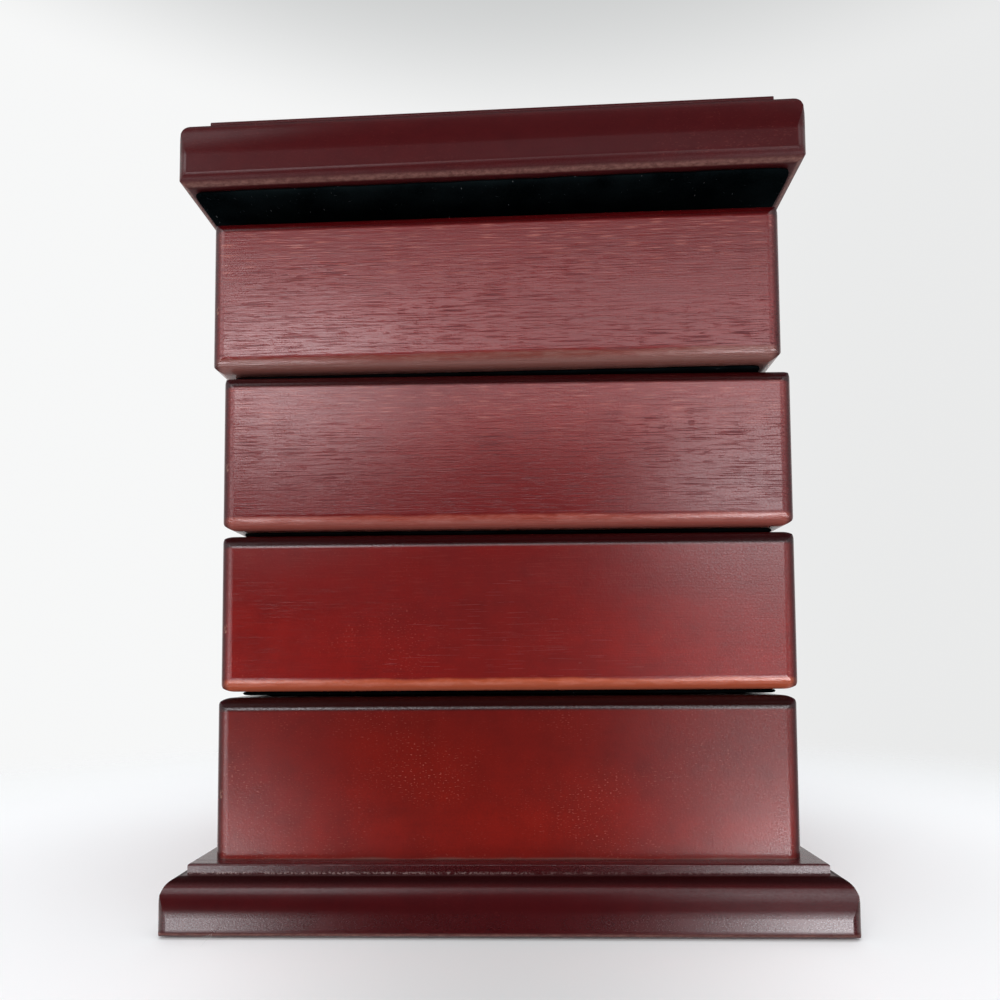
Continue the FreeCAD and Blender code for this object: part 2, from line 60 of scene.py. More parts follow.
# Sizes that the looks share with the model, in millimetres
TRAYS = ("tray_1", "tray_2", "tray_3", "tray_4")
HALF = 70.0
WALL = 9.0
TRAY_HEIGHT = 38.2
TIER_PITCH = 39.6
BASE_TOP = 15.5
LID_GAP = 6.2
LID_THICKNESS = 16.9
BASE_THICKNESS = 12.6
FELT_HALF, LID_FELT_HALF, BASE_FELT_HALF = 66.2, 72.8, 76.1
FELT_THICKNESS, LID_FELT_THICKNESS, BASE_FELT_THICKNESS = 1.0, 1.5, 0.5
FELT_HOLE = 7.8
LINING_PLAY, LINING_FLOOR, LINING_TOP, LINING_THICKNESS = 0.05, 4.0, 34.2, 1.0
BLOCK_NOTCH = 20.0
ROLLS_FOOT = 5.02
PIVOT = (-51.0, 51.0)
TURN = {"tray_1": 1.2, "tray_2": -0.3, "tray_3": -0.3, "tray_4": 0.0, "lid": 1.7, "base": 0.0}
FOOT = {tier: BASE_TOP + TIER_PITCH * (3 - above) for above, tier in enumerate(TRAYS)}
FOOT["lid"] = FOOT["tray_1"] + TRAY_HEIGHT + LID_GAP
FOOT["base"] = BASE_FELT_THICKNESS

# Camera, from the photograph's vanishing lines: lens in pixels, place in mm, angles in degrees
LENS_PX = 713.5
CAMERA_AT = (2.98, -240.65, 61.54)
PITCH, YAW, ROLL = 2.744, 1.342, -0.351
AXIS_BELOW_MIDDLE_PX = 129.7
PHOTO_PX = 1000
SENSOR_MM = 36


def add_camera():
    yaw, pitch, roll = (math.radians(angle) for angle in (YAW, PITCH, ROLL))
    right = Vector((math.cos(yaw), math.sin(yaw), 0))
    ahead = Vector((-math.sin(yaw) * math.cos(pitch), math.cos(yaw) * math.cos(pitch), math.sin(pitch)))
    up = Vector((math.sin(yaw) * math.sin(pitch), -math.cos(yaw) * math.sin(pitch), math.cos(pitch)))
    turned_right = right * math.cos(roll) + up * math.sin(roll)
    turned_up = up * math.cos(roll) - right * math.sin(roll)
    data = bpy.data.cameras.new("camera")
    data.sensor_width = SENSOR_MM
    data.sensor_fit = "HORIZONTAL"
    data.lens = LENS_PX * SENSOR_MM / PHOTO_PX
    data.shift_y = AXIS_BELOW_MIDDLE_PX / PHOTO_PX
    data.clip_start = 0.01
    data.clip_end = 20
    camera = bpy.data.objects.new("camera", data)
    turn = Matrix((turned_right, turned_up, -ahead)).transposed()
    camera.matrix_world = Matrix.Translation(Vector(CAMERA_AT) * MM) @ turn.to_4x4()
    bpy.context.collection.objects.link(camera)
    bpy.context.scene.camera = camera


add_camera()


# Short names for shader nodes
def add(tree, kind, **settings):
    node = tree.nodes.new(kind)
    for key, value in settings.items():
        setattr(node, key, value)
    return node


def math_node(tree, operation, *values, clamp=False):
    node = add(tree, "ShaderNodeMath", operation=operation, use_clamp=clamp)
    for socket, value in zip(node.inputs, values):
        if hasattr(value, "links"):
            tree.links.new(value, socket)
        else:
            socket.default_value = value
    return node.outputs[0]


def times(tree, a, b):
    return math_node(tree, "MULTIPLY", a, b)


def plus(tree, a, b, clamp=False):
    return math_node(tree, "ADD", a, b, clamp=clamp)


def minus(tree, a, b):
    return math_node(tree, "SUBTRACT", a, b)


def larger(tree, a, b):
    return math_node(tree, "MAXIMUM", a, b)


def smaller(tree, a, b):
    return math_node(tree, "MINIMUM", a, b)


def unsigned(tree, value):
    return math_node(tree, "ABSOLUTE", value)


def ramp(tree, factor, low, high, out_low=0.0, out_high=1.0, smooth=False):
    node = add(tree, "ShaderNodeMapRange", clamp=True)
    node.interpolation_type = "SMOOTHSTEP" if smooth else "LINEAR"
    for name, value in (("Value", factor), ("From Min", low), ("From Max", high),
                        ("To Min", out_low), ("To Max", out_high)):
        if hasattr(value, "links"):
            tree.links.new(value, node.inputs[name])
        else:
            node.inputs[name].default_value = value
    return node.outputs[0]


def mix(tree, factor, a, b):
    node = add(tree, "ShaderNodeMix", data_type="RGBA")
    for socket, value in ((node.inputs[0], factor), (node.inputs[6], a), (node.inputs[7], b)):
        if hasattr(value, "links"):
            tree.links.new(value, socket)
        elif isinstance(value, tuple):
            socket.default_value = (*value[:3], 1)
        else:
            socket.default_value = value
    return node.outputs[2]


def noise(tree, vector, scale, detail=2.0, rough=0.5, stretch=None):
    """Noise at scale per metre; stretch multiplies the three directions."""
    if stretch:
        scaled = add(tree, "ShaderNodeMapping")
        scaled.inputs["Scale"].default_value = stretch
        tree.links.new(vector, scaled.inputs[0])
        vector = scaled.outputs[0]
    node = add(tree, "ShaderNodeTexNoise")
    node.inputs["Scale"].default_value = scale
    node.inputs["Detail"].default_value = detail
    node.inputs["Roughness"].default_value = rough
    tree.links.new(vector, node.inputs["Vector"])
    return node.outputs["Fac"]


def group(name, inputs, outputs):
    tree = bpy.data.node_groups.new(name, "ShaderNodeTree")
    for label, kind, value in inputs:
        socket = tree.interface.new_socket(name=label, in_out="INPUT", socket_type=kind)
        if value is not None:
            socket.default_value = value
    for label, kind in outputs:
        tree.interface.new_socket(name=label, in_out="OUTPUT", socket_type=kind)
    return tree, tree.nodes.new("NodeGroupInput").outputs, tree.nodes.new("NodeGroupOutput").inputs


NUMBER, COLOUR, VECTOR = "NodeSocketFloat", "NodeSocketColor", "NodeSocketVector"


def parts(tree, vector):
    """The x, y and z of a vector."""
    split = add(tree, "ShaderNodeSeparateXYZ")
    tree.links.new(vector, split.inputs[0])
    return split.outputs


LACQUER_ROUGHNESS = 0.19
LACQUER_SPECULAR = 0.5
WOOD_RELIEF = 0.12 * MM


# Effects that several materials share
def make_grain():
    """Stained, lacquered wood. The vector is in metres, x along the grain and z up the board."""
    tree, given, out = group(
        "stained_wood",
        [("Vector", VECTOR, None), ("Stain", COLOUR, (0.18, 0.015, 0.009, 1)),
         ("Dark", COLOUR, (0.05, 0.006, 0.005, 1)), ("Pores", NUMBER, 0.5), ("Flecks", NUMBER, 0.3),
         ("Streaks", NUMBER, 0.2), ("Mottle", NUMBER, 0.5), ("Lines", NUMBER, 1.0), ("Grit", NUMBER, 0.5)],
        [("Color", COLOUR), ("Roughness", NUMBER), ("Gloss", NUMBER), ("Height", NUMBER)],
    )
    at = given["Vector"]
    # broad uneven take-up of the stain, stretched along the grain
    broad = noise(tree, at, 22, 3, 0.55, (0.5, 1, 1.4))
    band = noise(tree, at, 60, 4, 0.6, (0.12, 1, 1))
    fine = noise(tree, at, 700, 3, 0.65, (0.022, 1, 1))
    thread = noise(tree, at, 2600, 1, 0.5, (0.035, 1, 1))
    grit = noise(tree, at, 2000, 3, 0.7)
    # long thin pores in patches, and shorter ones between them
    pore = noise(tree, at, 3900, 0, 0.4, (0.026, 1, 1))
    short = noise(tree, at, 4600, 0, 0.4, (0.060, 1, 1))
    where = noise(tree, at, 48, 3, 0.6, (0.4, 1, 1.3))
    dashes = larger(tree, ramp(tree, pore, 0.60, 0.72), ramp(tree, short, 0.64, 0.76, 0.0, 0.8))
    dashes = times(tree, dashes, ramp(tree, where, 0.30, 0.60, 0.12, 1.0))
    dashes = times(tree, dashes, given["Pores"])
    # specks and long pale streaks where the stain missed a pore
    fleck = noise(tree, at, 3600, 0, 0.4, (0.40, 1, 1))
    streak = noise(tree, at, 3400, 0, 0.4, (0.05, 1, 1))
    patch = noise(tree, at, 60, 3, 0.6, (0.6, 1, 1))
    light = times(tree, ramp(tree, fleck, 0.68, 0.78), ramp(tree, patch, 0.42, 0.66))
    light = larger(tree, times(tree, light, given["Flecks"]),
                   times(tree, ramp(tree, streak, 0.60, 0.76), given["Streaks"]))
    depth = times(tree, ramp(tree, broad, 0.3, 0.72, 0.0, 0.55), given["Mottle"])
    depth = plus(tree, depth, ramp(tree, band, 0.35, 0.75, 0.0, 0.22))
    # fine and finest lines along the grain, and clouds where it isn't lined
    lines = plus(tree, ramp(tree, fine, 0.3, 0.75, -0.12, 0.26), ramp(tree, thread, 0.3, 0.7, -0.10, 0.16))
    cloud = ramp(tree, noise(tree, at, 150, 4, 0.65), 0.35, 0.68, -0.10, 0.26)
    cloud = times(tree, cloud, minus(tree, 1.1, given["Lines"]))
    depth = plus(tree, depth, cloud)
    depth = plus(tree, depth, times(tree, lines, given["Lines"]), clamp=True)
    colour = mix(tree, smaller(tree, depth, 1.0), given["Stain"], given["Dark"])
    colour = mix(tree, ramp(tree, grit, 0.35, 0.7, 0.0, 0.3), colour, given["Dark"])
    colour = mix(tree, dashes, colour, (0.050, 0.003, 0.006))
    colour = mix(tree, light, colour, (0.44, 0.13, 0.10))
    tree.links.new(colour, out["Color"])
    rough = plus(tree, ramp(tree, broad, 0.3, 0.7, 0.0, 0.06), times(tree, dashes, 0.25))
    tree.links.new(rough, out["Roughness"])
    # the lacquer's shine is broken into fine spots
    spots = ramp(tree, noise(tree, at, 3300, 2, 0.6, (0.7, 1, 1)), 0.36, 0.64, -0.40, 0.36)
    gloss = plus(tree, 1.0, times(tree, spots, given["Grit"]))
    gloss = times(tree, gloss, minus(tree, 1.0, times(tree, dashes, 0.5)))
    tree.links.new(gloss, out["Gloss"])
    height = plus(tree, times(tree, fine, 0.5), times(tree, thread, 0.45))
    height = times(tree, height, given["Lines"])
    height = plus(tree, height, times(tree, grit, times(tree, given["Grit"], 0.5)))
    height = minus(tree, height, times(tree, dashes, 0.7))
    tree.links.new(height, out["Height"])
    return tree


def make_wear():
    """How far rubbed edges show through, from a mask of where the edge is."""
    tree, given, out = group(
        "rubbed_edge",
        [("Vector", VECTOR, None), ("Edge", NUMBER, 0.0), ("Amount", NUMBER, 0.5)],
        [("Wear", NUMBER)],
    )
    coarse = noise(tree, given["Vector"], 160, 3, 0.6)
    speck = noise(tree, given["Vector"], 1500, 2, 0.6)
    both = plus(tree, times(tree, coarse, 0.7), times(tree, speck, 0.3))
    level = minus(tree, 0.85, times(tree, given["Amount"], 0.55))
    wear = times(tree, given["Edge"], ramp(tree, minus(tree, both, level), -0.05, 0.08))
    tree.links.new(wear, out["Wear"])
    return tree


STAINED = make_grain()
RUBBED = make_wear()


def use(tree, group_tree, **values):
    node = add(tree, "ShaderNodeGroup", node_tree=group_tree)
    for key, value in values.items():
        if hasattr(value, "links"):
            tree.links.new(value, node.inputs[key])
        elif isinstance(value, tuple):
            node.inputs[key].default_value = (*value[:3], 1) if len(value) == 3 else value
        else:
            node.inputs[key].default_value = value
    return node.outputs


def new_material(name):
    material = bpy.data.materials.new(name)
    material.use_nodes = True
    tree = material.node_tree
    return material, tree, tree.nodes["Principled BSDF"]


def tier_vector(tree, tier, quarter=0):
    """Object coordinates in the tier's own frame, foot at z = 0, grain along x."""
    coord = add(tree, "ShaderNodeTexCoord").outputs["Object"]
    turn = math.radians(TURN[tier])
    across, back = (v * MM for v in PIVOT)
    cos, sin = math.cos(turn), math.sin(turn)
    local = add(tree, "ShaderNodeMapping")
    local.inputs["Rotation"].default_value = (0, 0, turn)
    moved_x = across - (cos * across - sin * back)
    moved_y = back - (sin * across + cos * back)
    local.inputs["Location"].default_value = (moved_x, moved_y, -FOOT[tier] * MM)
    tree.links.new(coord, local.inputs[0])
    grain = local
    if quarter:
        grain = add(tree, "ShaderNodeMapping")
        grain.inputs["Rotation"].default_value = (0, 0, math.radians(90))
        tree.links.new(local.outputs[0], grain.inputs[0])
    return local.outputs[0], grain.outputs[0]


def bump(tree, shader, height, strength, distance):
    node = add(tree, "ShaderNodeBump")
    node.inputs["Strength"].default_value = strength
    node.inputs["Distance"].default_value = distance
    tree.links.new(height, node.inputs["Height"])
    tree.links.new(node.outputs[0], shader.inputs["Normal"])


def shift_vector(tree, vector, offset):
    moved = add(tree, "ShaderNodeVectorMath", operation="ADD")
    moved.inputs[1].default_value = offset
    tree.links.new(vector, moved.inputs[0])
    return moved.outputs[0]


def dress(name, material):
    nodes[name].data.materials.clear()
    nodes[name].data.materials.append(material)


def upright_corner(tree, x, y, low, high):
    """A mask of the upright corners: both distances from the middle pass from low to high, in mm."""
    inward = smaller(tree, unsigned(tree, x), unsigned(tree, y))
    return ramp(tree, inward, low * MM, high * MM, smooth=True)


def lacquer(tree, shader, wood, roughness, gloss):
    tree.links.new(roughness, shader.inputs["Roughness"])
    tree.links.new(times(tree, gloss, LACQUER_SPECULAR), shader.inputs["Specular IOR Level"])
    bump(tree, shader, wood["Height"], 0.35, WOOD_RELIEF)


def tray_wood(tier, quarter, stain, dark, worn, pores, flecks, streaks, mottle, foot_wear, height_shade, lines,
              top_shade):
    """A tray board's red stain: sanded at the foot and rubbed at the corners, with painted shade up the
    board, along the top and on the upright corners.
    """
    name = f"{tier}_{'side' if quarter else 'front'}_wood"
    material, tree, shader = new_material(name)
    local, grain = tier_vector(tree, tier, quarter)
    number = float(tier[-1])
    moved = shift_vector(tree, grain, (0.31 * number + 0.17 * quarter, 0.13 * number, 0.23 * number))
    x, y, z = parts(tree, local)
    # open pores low on the board, pale streaks above them
    open_low = ramp(tree, z, 0.022, 0.035, pores, 0.25 * pores, smooth=True)
    pale_high = ramp(tree, z, 0.016, 0.032, 0.15 * streaks, streaks, smooth=True)
    wood = use(tree, STAINED, Vector=moved, Stain=stain, Dark=dark, Pores=open_low, Flecks=flecks,
               Streaks=pale_high, Mottle=mottle, Lines=lines, Grit=1.3 - 0.8 * lines)
    # the lower rounding is sanded nearly bare; the upper one is darkened with painted shade
    band = 1.2 if tier == "tray_4" else 3.9
    wave = times(tree, noise(tree, local, 90, 3), 0.0012)
    low = ramp(tree, plus(tree, z, wave), (band - 0.9) * MM, band * MM, 1.0, 0.0, smooth=True)
    low = times(tree, low, foot_wear)
    sanded = noise(tree, grain, 700, 3, 0.6, (0.3, 1, 1))
    bare = times(tree, low, ramp(tree, sanded, 0.42, 0.68, 0.0, 0.6))
    bare = larger(tree, bare, times(tree, low, ramp(tree, z, 0.0005, 0.0016, 0.6, 0.0)))
    # painted shade that changes with height: the dark colour is mixed in by one amount at 8 mm up the board
    # and by another at 32 mm
    tone = mix(tree, ramp(tree, z, 0.008, 0.032, *height_shade, smooth=True), wood["Color"], dark)
    tone = mix(tree, low, tone, worn)
    tone = mix(tree, bare, tone, tuple(min(1.0, 1.15 * v + 0.06) for v in worn))
    # painted shade along the top rounding, under the tier or lid above
    high = ramp(tree, z, (TRAY_HEIGHT - 3.6) * MM, (TRAY_HEIGHT - 2.7) * MM, smooth=True)
    tone = mix(tree, times(tree, high, 0.94), tone, top_shade)
    shade = ramp(tree, z, (TRAY_HEIGHT - 2.5) * MM, (TRAY_HEIGHT - 1.9) * MM, smooth=True)
    # upright corners: a dark line of painted shade, then specks of bare wood
    corner = upright_corner(tree, x, y, HALF - 2.9, HALF - 1.2)
    tone = mix(tree, times(tree, corner, 0.8), tone, (0.025, 0.0015, 0.004))
    wear = use(tree, RUBBED, Vector=local, Edge=corner, Amount=0.30)["Wear"]
    tone = mix(tree, wear, tone, (0.50, 0.26, 0.19))
    tree.links.new(tone, shader.inputs["Base Color"])
    dull = larger(tree, times(tree, shade, 0.8), times(tree, corner, 0.75))
    gloss = times(tree, wood["Gloss"], minus(tree, 1.0, dull))
    lacquer(tree, shader, wood, plus(tree, wood["Roughness"], LACQUER_ROUGHNESS), gloss)
    return material


# Each tray's stain, and the painted shade it gets low and high on the board and along its top edge; lines is
# how streaked its grain is
TRAY_LOOKS = {
    "tray_1": dict(stain=(0.195, 0.014, 0.014), dark=(0.085, 0.006, 0.007), worn=(0.19, 0.065, 0.048),
                   pores=0.85, flecks=0.10, streaks=0.60, mottle=0.5, foot_wear=0.60, height_shade=(0.0, 0.25),
                   lines=0.88, top_shade=(0.040, 0.0008, 0.0015)),
    "tray_2": dict(stain=(0.200, 0.012, 0.011), dark=(0.075, 0.004, 0.005), worn=(0.27, 0.045, 0.028),
                   pores=0.85, flecks=0.15, streaks=0.35, mottle=0.5, foot_wear=0.90, height_shade=(0.45, 0.0),
                   lines=0.60, top_shade=(0.012, 0.0006, 0.0010)),
    "tray_3": dict(stain=(0.245, 0.0080, 0.0052), dark=(0.085, 0.004, 0.004), worn=(0.40, 0.065, 0.020),
                   pores=0.20, flecks=0.35, streaks=0.10, mottle=0.8, foot_wear=0.95, height_shade=(0.0, 0.55),
                   lines=0.30, top_shade=(0.010, 0.0008, 0.0012)),
    "tray_4": dict(stain=(0.212, 0.0080, 0.0040), dark=(0.080, 0.004, 0.003), worn=(0.10, 0.025, 0.015),
                   pores=0.05, flecks=0.55, streaks=0.0, mottle=1.0, foot_wear=0.8, height_shade=(0.0, 0.45),
                   lines=0.12, top_shade=(0.009, 0.0018, 0.0018)),
}
for tier, look in TRAY_LOOKS.items():
    front = tray_wood(tier, 0, **look)
    side = tray_wood(tier, 1, **look)
    for board, material in (("front", front), ("back", front), ("left", side), ("right", side)):
        dress(f"{tier}_{board}", material)


def moulding_wood(tier, reach, crown, thickness, rubbed, band, shine, stain, dark, offset):
    """The lid's and the base's darker stain, with painted shade on the crown; rubbed along the arrises, with
    a painted highlight along the lower one.
    """
    material, tree, shader = new_material(f"{tier}_moulding_wood")
    local, grain = tier_vector(tree, tier)
    moved = shift_vector(tree, grain, offset)
    x, y, z = parts(tree, local)
    # the grain shows on the flat panel and is filled on the rounded edges
    panel = ((thickness + 1.9) * MM, (thickness + 2.1) * MM)
    lines = ramp(tree, z, *panel, 0.10, 0.85)
    pores = ramp(tree, z, *panel, 0.0, 0.45)
    wood = use(tree, STAINED, Vector=moved, Stain=stain, Dark=dark, Pores=pores, Flecks=0.06, Streaks=0.0,
               Mottle=0.6, Lines=lines, Grit=0.6)
    # painted shade: the crown and the corner under the panel are darkened
    crown_shade = times(tree, ramp(tree, z, crown * MM, (crown + 1.4) * MM, smooth=True),
                   ramp(tree, z, (thickness - 0.05) * MM, (thickness + 0.05) * MM, 1.0, 0.0))
    tone = mix(tree, times(tree, crown_shade, 0.80), wood["Color"], tuple(v * 0.22 for v in dark))
    # the lower edge is rubbed in patches and carries a painted highlight of its rounding, in a band that
    # rises, holds, falls and ends at these heights
    start, full, fade, end = (v * MM for v in band)
    low = times(tree, ramp(tree, z, start, full, smooth=True),
                ramp(tree, z, fade, end, 1.0, 0.0, smooth=True))
    rub = use(tree, RUBBED, Vector=moved, Edge=low, Amount=1.0)["Wear"]
    patchy = ramp(tree, noise(tree, moved, 1400, 3, 0.65, (0.5, 1, 1)), 0.38, 0.66, 0.30, 0.75)
    tone = mix(tree, times(tree, rub, patchy), tone, (0.30, 0.145, 0.120))
    # specks of painted reflection along the panel's foot, more of them at the left
    foot = times(tree, ramp(tree, z, (thickness - 0.02) * MM, (thickness + 0.12) * MM),
                 ramp(tree, z, (thickness + 0.35) * MM, (thickness + 0.8) * MM, 1.0, 0.0, smooth=True))
    foot_glint = ramp(tree, noise(tree, moved, 2400, 2, 0.6), 0.46, 0.62)
    foot_glint = times(tree, foot_glint, ramp(tree, x, -0.045, 0.03, 0.85, 0.25, smooth=True))
    tone = mix(tree, times(tree, foot_glint, foot), tone, (0.30, 0.21, 0.20))
    corner = upright_corner(tree, x, y, reach - 1.4, reach - 0.4)
    bare = use(tree, RUBBED, Vector=local, Edge=corner, Amount=0.35)["Wear"]
    tone = mix(tree, bare, tone, (0.45, 0.25, 0.17))
    tree.links.new(tone, shader.inputs["Base Color"])
    rough = plus(tree, wood["Roughness"], LACQUER_ROUGHNESS)
    rough = plus(tree, rough, times(tree, crown_shade, 0.3))
    under = ramp(tree, z, 0.0005, rubbed * MM, 0.25, 0.0)
    gloss = times(tree, wood["Gloss"], minus(tree, 1.0, times(tree, crown_shade, 0.65)))
    gloss = times(tree, gloss, ramp(tree, z, 0.8 * rubbed * MM, 1.2 * rubbed * MM, 0.3, shine))
    arris = times(tree, ramp(tree, z, (0.45 * crown + 0.3) * MM, (0.45 * crown + 1.6) * MM, smooth=True),
                  ramp(tree, z, (thickness - 0.05) * MM, (thickness + 0.05) * MM, 0.6, 0.0))
    gloss = times(tree, gloss, minus(tree, 1.0, arris))
    lacquer(tree, shader, wood, plus(tree, rough, under), gloss)
    return material


dress("lid_board", moulding_wood(
    "lid", reach=75.4, crown=14.4, thickness=LID_THICKNESS, rubbed=2.9, band=(0.02, 0.15, 0.30, 0.95),
    shine=0.6, stain=(0.062, 0.0062, 0.0072), dark=(0.034, 0.004, 0.005), offset=(2.1, 0.4, 0.9)))
dress("base_board", moulding_wood(
    "base", reach=79.1, crown=10.6, thickness=BASE_THICKNESS, rubbed=1.5, band=(0.3, 0.8, 0.45, 1.28),
    shine=1.0, stain=(0.052, 0.0032, 0.0042), dark=(0.026, 0.0022, 0.003), offset=(3.7, 1.4, 1.9)))


def plain_wood(name, tier, stain, dark, rough):
    material, tree, shader = new_material(name)
    _, grain = tier_vector(tree, tier)
    wood = use(tree, STAINED, Vector=grain, Stain=stain, Dark=dark, Pores=0.5, Flecks=0.1, Streaks=0.2,
               Mottle=0.7, Lines=1.0, Grit=0.5)
    tree.links.new(wood["Color"], shader.inputs["Base Color"])
    tree.links.new(plus(tree, wood["Roughness"], rough), shader.inputs["Roughness"])
    bump(tree, shader, wood["Height"], 0.3, WOOD_RELIEF)
    return material


for tier in TRAYS:
    block = plain_wood(f"{tier}_block_wood", tier, (0.13, 0.014, 0.010), (0.05, 0.006, 0.005), 0.36)
    panel = plain_wood(f"{tier}_floor_wood", tier, (0.48, 0.30, 0.17), (0.26, 0.14, 0.07), 0.6)
    dress(f"{tier}_pivot_block", block)
    dress(f"{tier}_floor", panel)


def make_nap():
    """Short nap: brushed patches, stray lint and a rough height."""
    tree, given, out = group(
        "short_nap",
        [("Vector", VECTOR, None), ("Pile", COLOUR, (0.005, 0.006, 0.008, 1)),
         ("Brushed", COLOUR, (0.014, 0.016, 0.020, 1)), ("Lint", NUMBER, 0.5)],
        [("Color", COLOUR), ("Height", NUMBER)],
    )
    at = given["Vector"]
    brushed = noise(tree, at, 45, 3, 0.6)
    pile = noise(tree, at, 2400, 3, 0.65)
    lint = noise(tree, at, 1500, 1, 0.4, (1, 0.3, 1))
    colour = mix(tree, ramp(tree, brushed, 0.4, 0.65), given["Pile"], given["Brushed"])
    colour = mix(tree, ramp(tree, pile, 0.4, 0.75, 0.0, 0.5), colour, given["Brushed"])
    bright = times(tree, ramp(tree, lint, 0.775, 0.80), given["Lint"])
    colour = mix(tree, bright, colour, (0.30, 0.31, 0.32))
    tree.links.new(colour, out["Color"])
    tree.links.new(pile, out["Height"])
    return tree


NAP = make_nap()


def felt_material(name, pile, brushed, lint, sheen, depth):
    material, tree, shader = new_material(name)
    coord = add(tree, "ShaderNodeTexCoord").outputs["Object"]
    nap = use(tree, NAP, Vector=coord, Pile=pile, Brushed=brushed, Lint=lint)
    tree.links.new(nap["Color"], shader.inputs["Base Color"])
    shader.inputs["Roughness"].default_value = 0.95
    shader.inputs["Specular IOR Level"].default_value = 0.0
    shader.inputs["Sheen Weight"].default_value = sheen
    shader.inputs["Sheen Roughness"].default_value = 0.5
    bump(tree, shader, nap["Height"], 0.8, depth)
    return material


FELT = felt_material("black_felt", (0.0005, 0.0012, 0.0016), (0.0050, 0.0082, 0.0092), 0.35, 0.0, 0.0003)
VELVET = felt_material("black_velvet", (0.005, 0.005, 0.006), (0.014, 0.014, 0.016), 0.25, 0.25, 0.0002)
for name in nodes:
    if name.endswith("divider"):
        dress(name, VELVET)


def metal(name, colour, rough):
    material, tree, shader = new_material(name)
    coord = add(tree, "ShaderNodeTexCoord").outputs["Object"]
    rings = noise(tree, coord, 900, 3, 0.6)
    smear = noise(tree, coord, 120, 3, 0.6)
    tone = mix(tree, ramp(tree, smear, 0.4, 0.7, 0.0, 0.45), colour, tuple(v * 0.55 for v in colour))
    tree.links.new(tone, shader.inputs["Base Color"])
    shader.inputs["Metallic"].default_value = 1.0
    tree.links.new(ramp(tree, rings, 0.3, 0.7, rough - 0.06, rough + 0.12), shader.inputs["Roughness"])
    bump(tree, shader, rings, 0.15, 0.00005)
    return material


BRASS = metal("turned_brass", (0.78, 0.56, 0.24), 0.28)
STEEL = metal("zinc_steel", (0.58, 0.58, 0.60), 0.30)
for name in nodes:
    if name.endswith("_bush") or name == "lid_insert":
        dress(name, BRASS)
    if name.endswith("washer") or name in ("lid_spacer", "pivot_bolt"):
        dress(name, STEEL)


# Felt, velvet and ring rolls
def deselect():
    for chosen in bpy.context.selected_objects:
        chosen.select_set(False)


def apply_modifier(piece, kind, **settings):
    modifier = piece.modifiers.new(kind.lower(), kind)
    for key, value in settings.items():
        setattr(modifier, key, value)
    bpy.context.view_layer.objects.active = piece
    bpy.ops.object.modifier_apply(modifier=modifier.name)


def place(piece, tier):
    """Turns a piece made in its tier's own frame to where that tier rests."""
    turn = Matrix.Rotation(-math.radians(TURN[tier]), 4, "Z")
    pivot = Matrix.Translation(Vector((*PIVOT, 0)) * MM)
    piece.data.transform(pivot @ turn @ pivot.inverted())
    piece.data.update()


def finish_piece(piece, tier, material, stands_for, angle=50):
    piece.data.materials.clear()
    piece.data.materials.append(material)
    deselect()
    piece.select_set(True)
    bpy.context.view_layer.objects.active = piece
    bpy.ops.object.shade_smooth_by_angle(angle=math.radians(angle))
    piece.select_set(False)
    if stands_for:
        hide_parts(stands_for)
    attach(piece, tier if tier in frame["bodies"] else "base")


def felt_sheet(name, tier, half, corner, foot, thickness, hole, seed):
    """A cut felt square: soft rim, slightly uneven cut, hole round the pivot's washer."""
    deselect()
    cuts = 52
    bpy.ops.mesh.primitive_grid_add(x_subdivisions=cuts, y_subdivisions=cuts, size=2 * half * MM)
    sheet = bpy.context.object
    sheet.name = name
    bm = bmesh.new()
    bm.from_mesh(sheet.data)
    step = 2 * half / cuts
    middle = Vector((*PIVOT, 0)) * MM
    if hole:
        near = [v for v in bm.verts if (v.co - middle).length < (hole + 0.25 * step) * MM]
        bmesh.ops.delete(bm, geom=near, context="VERTS")
        for v in bm.verts:
            away = v.co - middle
            if v.is_boundary and away.length < (hole + 2.2 * step) * MM:
                v.co = middle + away.normalized() * hole * MM
    inner = half - corner
    for v in bm.verts:
        px, py = v.co.x / MM, v.co.y / MM
        over = Vector((max(abs(px) - inner, 0), max(abs(py) - inner, 0)))
        if over.x > 0 and over.y > 0 and over.length > corner:
            over = over.normalized() * corner
            v.co.x = math.copysign((inner + over.x) * MM, px)
            v.co.y = math.copysign((inner + over.y) * MM, py)
        if v.is_boundary and abs(max(abs(px), abs(py)) - half) < 0.01:
            wave = 0.16 * math.sin(px * 0.33 + seed) * math.sin(py * 0.29 + 2 * seed)
            wave += 0.10 * math.sin((px - py) * 1.7 + seed)
            v.co -= Vector((v.co.x, v.co.y, 0)).normalized() * (0.22 + wave) * MM
    bm.to_mesh(sheet.data)
    bm.free()
    sheet.data.transform(Matrix.Translation((0, 0, (foot + thickness / 2) * MM)))
    apply_modifier(sheet, "SOLIDIFY", thickness=thickness * 0.98 * MM, offset=0.0)
    apply_modifier(sheet, "SUBSURF", levels=1, render_levels=1)
    place(sheet, tier)
    return sheet


